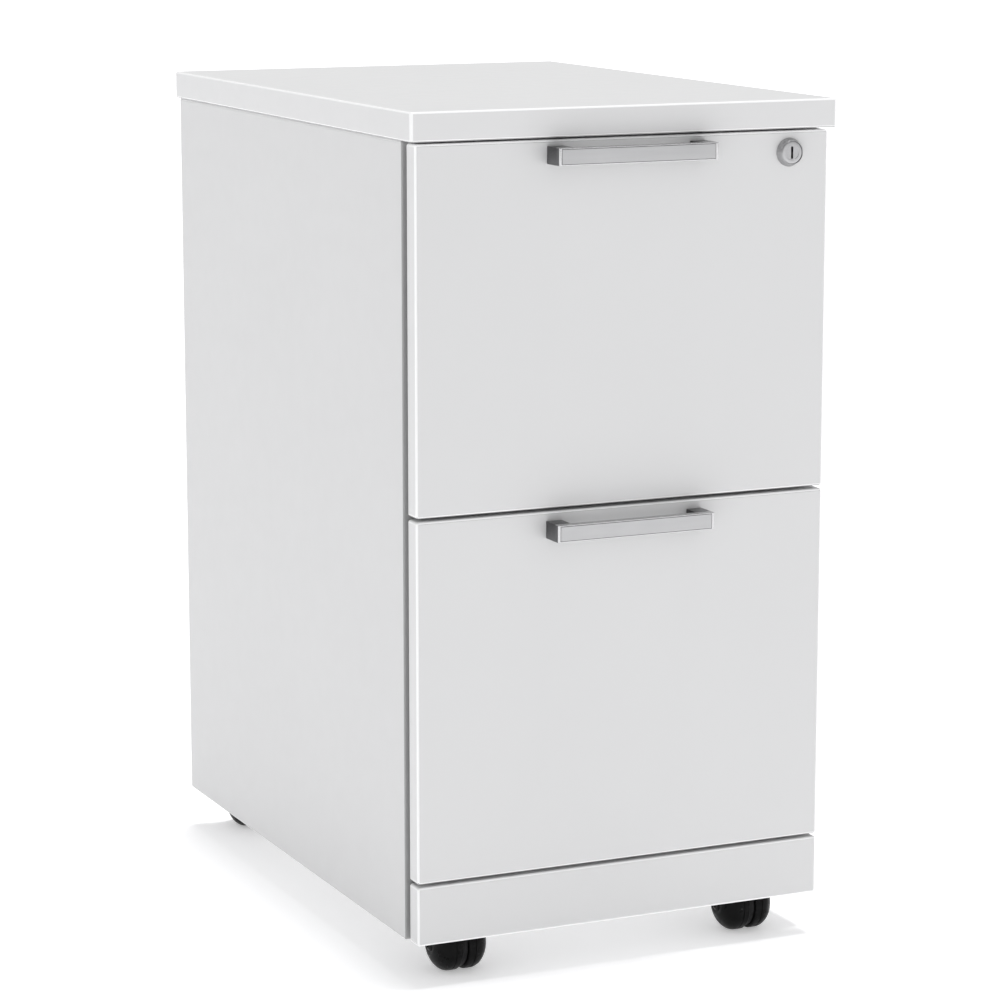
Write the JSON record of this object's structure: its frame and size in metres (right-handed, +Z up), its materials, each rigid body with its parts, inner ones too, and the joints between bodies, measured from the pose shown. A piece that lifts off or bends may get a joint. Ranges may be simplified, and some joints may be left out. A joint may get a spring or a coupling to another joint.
{
  "type": "rolling pedestal cabinet",
  "caption": "Rolling pedestal cabinet: laminate carcass with stacked file drawers on ball slides, bar handles, a cam lock and twin-wheel casters.",
  "frame": {"origin": "on the floor under the middle of the whole cabinet's box, handles included", "axes": "+X to the right for a person facing the drawers, -Y out of the drawer fronts, +Z up"},
  "size_m": [0.4, 0.5972, 0.75],
  "materials": {
    "white_laminate": "white low-pressure laminate with edge banding over particle board",
    "white_melamine": "white melamine drawer board",
    "zinc_steel": "zinc-plated sheet steel",
    "black_steel": "painted steel plate",
    "satin_metal": "satin nickel-plated",
    "lock_metal": "satin nickel-plated",
    "grey_plastic": "extruded rail",
    "black_plastic": "moulded nylon",
    "black_tread": "moulded nylon wheel"
  },
  "bodies": {
    "carcass": {"top_panel": "white_laminate", "side_panel_left": "white_laminate", "side_panel_right": "white_laminate", "back_panel": "white_laminate", "bottom_panel": "white_laminate", "kick_panel": "white_laminate", "front_rail": "white_melamine", "counterweight": "black_steel", "upper_slide_outer_left": "zinc_steel", "upper_slide_outer_right": "zinc_steel", "lower_slide_outer_left": "zinc_steel", "lower_slide_outer_right": "zinc_steel", "caster_front_left_plate": "zinc_steel", "caster_front_right_plate": "zinc_steel", "caster_rear_left_plate": "zinc_steel", "caster_rear_right_plate": "zinc_steel"},
    "upper_drawer": {"upper_drawer_front": "white_laminate", "upper_drawer_side_left": "white_melamine", "upper_drawer_side_right": "white_melamine", "upper_drawer_back": "white_melamine", "upper_drawer_bottom": "white_melamine", "upper_file_rail_left": "grey_plastic", "upper_file_rail_right": "grey_plastic", "upper_handle": "satin_metal", "upper_handle_plate": "satin_metal", "upper_slide_inner_left": "zinc_steel", "upper_slide_inner_right": "zinc_steel", "lock_catch_upper": "zinc_steel", "lock_housing": "lock_metal"},
    "upper_slide_middles": {"upper_slide_middle_left": "zinc_steel", "upper_slide_middle_right": "zinc_steel"},
    "lower_drawer": {"lower_drawer_front": "white_laminate", "lower_drawer_side_left": "white_melamine", "lower_drawer_side_right": "white_melamine", "lower_drawer_back": "white_melamine", "lower_drawer_bottom": "white_melamine", "lower_file_rail_left": "grey_plastic", "lower_file_rail_right": "grey_plastic", "lower_handle": "satin_metal", "lower_handle_plate": "satin_metal", "lower_slide_inner_left": "zinc_steel", "lower_slide_inner_right": "zinc_steel", "lock_catch_lower": "zinc_steel"},
    "lower_slide_middles": {"lower_slide_middle_left": "zinc_steel", "lower_slide_middle_right": "zinc_steel"},
    "lock_cylinder": {"lock_plug": "lock_metal", "lock_cam": "zinc_steel"},
    "lock_bar": {"lock_bar": "zinc_steel"},
    "caster_front_left_body": {"caster_front_left_body": "black_plastic"},
    "caster_front_left_wheel_left": {"caster_front_left_wheel_left": "black_tread"},
    "caster_front_left_wheel_right": {"caster_front_left_wheel_right": "black_tread"},
    "caster_front_right_body": {"caster_front_right_body": "black_plastic"},
    "caster_front_right_wheel_left": {"caster_front_right_wheel_left": "black_tread"},
    "caster_front_right_wheel_right": {"caster_front_right_wheel_right": "black_tread"},
    "caster_rear_left_body": {"caster_rear_left_body": "black_plastic"},
    "caster_rear_left_wheel_left": {"caster_rear_left_wheel_left": "black_tread"},
    "caster_rear_left_wheel_right": {"caster_rear_left_wheel_right": "black_tread"},
    "caster_rear_right_body": {"caster_rear_right_body": "black_plastic"},
    "caster_rear_right_wheel_left": {"caster_rear_right_wheel_left": "black_tread"},
    "caster_rear_right_wheel_right": {"caster_rear_right_wheel_right": "black_tread"}
  },
  "joints": [
    {"name": "upper_drawer_travel", "type": "slide", "parent": "carcass", "child": "upper_drawer", "axis": [0, -1, 0], "range_m": [0, 0.48]},
    {"name": "upper_slide_middle_travel", "type": "slide", "parent": "carcass", "child": "upper_slide_middles", "axis": [0, -1, 0], "range_m": [0, 0.24]},
    {"name": "lower_drawer_travel", "type": "slide", "parent": "carcass", "child": "lower_drawer", "axis": [0, -1, 0], "range_m": [0, 0.48]},
    {"name": "lower_slide_middle_travel", "type": "slide", "parent": "carcass", "child": "lower_slide_middles", "axis": [0, -1, 0], "range_m": [0, 0.24]},
    {"name": "lock_turn", "type": "hinge", "parent": "upper_drawer", "child": "lock_cylinder", "pos_m": [0.156, -0.27415, 0.7045], "axis": [0, -1, 0], "range_deg": [0, 90]},
    {"name": "lock_bar_lift", "type": "slide", "parent": "carcass", "child": "lock_bar", "axis": [0, 0, 1], "range_m": [0, 0.01]},
    {"name": "caster_front_left_swivel", "type": "hinge", "parent": "carcass", "child": "caster_front_left_body", "pos_m": [-0.141, -0.21885, 0], "axis": [0, 0, 1], "continuous": true},
    {"name": "caster_front_left_wheel_left_spin", "type": "hinge", "parent": "caster_front_left_body", "child": "caster_front_left_wheel_left", "pos_m": [-0.141, -0.23185, 0.025], "axis": [1, 0, 0], "continuous": true},
    {"name": "caster_front_left_wheel_right_spin", "type": "hinge", "parent": "caster_front_left_body", "child": "caster_front_left_wheel_right", "pos_m": [-0.141, -0.23185, 0.025], "axis": [1, 0, 0], "continuous": true},
    {"name": "caster_front_right_swivel", "type": "hinge", "parent": "carcass", "child": "caster_front_right_body", "pos_m": [0.141, -0.21885, 0], "axis": [0, 0, 1], "continuous": true},
    {"name": "caster_front_right_wheel_left_spin", "type": "hinge", "parent": "caster_front_right_body", "child": "caster_front_right_wheel_left", "pos_m": [0.141, -0.23185, 0.025], "axis": [1, 0, 0], "continuous": true},
    {"name": "caster_front_right_wheel_right_spin", "type": "hinge", "parent": "caster_front_right_body", "child": "caster_front_right_wheel_right", "pos_m": [0.141, -0.23185, 0.025], "axis": [1, 0, 0], "continuous": true},
    {"name": "caster_rear_left_swivel", "type": "hinge", "parent": "carcass", "child": "caster_rear_left_body", "pos_m": [-0.141, 0.25765, 0], "axis": [0, 0, 1], "continuous": true},
    {"name": "caster_rear_left_wheel_left_spin", "type": "hinge", "parent": "caster_rear_left_body", "child": "caster_rear_left_wheel_left", "pos_m": [-0.141, 0.27065, 0.025], "axis": [1, 0, 0], "continuous": true},
    {"name": "caster_rear_left_wheel_right_spin", "type": "hinge", "parent": "caster_rear_left_body", "child": "caster_rear_left_wheel_right", "pos_m": [-0.141, 0.27065, 0.025], "axis": [1, 0, 0], "continuous": true},
    {"name": "caster_rear_right_swivel", "type": "hinge", "parent": "carcass", "child": "caster_rear_right_body", "pos_m": [0.141, 0.25765, 0], "axis": [0, 0, 1], "continuous": true},
    {"name": "caster_rear_right_wheel_left_spin", "type": "hinge", "parent": "caster_rear_right_body", "child": "caster_rear_right_wheel_left", "pos_m": [0.141, 0.27065, 0.025], "axis": [1, 0, 0], "continuous": true},
    {"name": "caster_rear_right_wheel_right_spin", "type": "hinge", "parent": "caster_rear_right_body", "child": "caster_rear_right_wheel_right", "pos_m": [0.141, 0.27065, 0.025], "axis": [1, 0, 0], "continuous": true}
  ],
  "couplings": [
    {"joint": "upper_slide_middle_travel", "follows": "upper_drawer_travel", "ratio": 0.5},
    {"joint": "lower_slide_middle_travel", "follows": "lower_drawer_travel", "ratio": 0.5},
    {"joint": "lock_turn", "follows": "lock_bar_lift", "rad_per_m": 157.07}
  ]
}
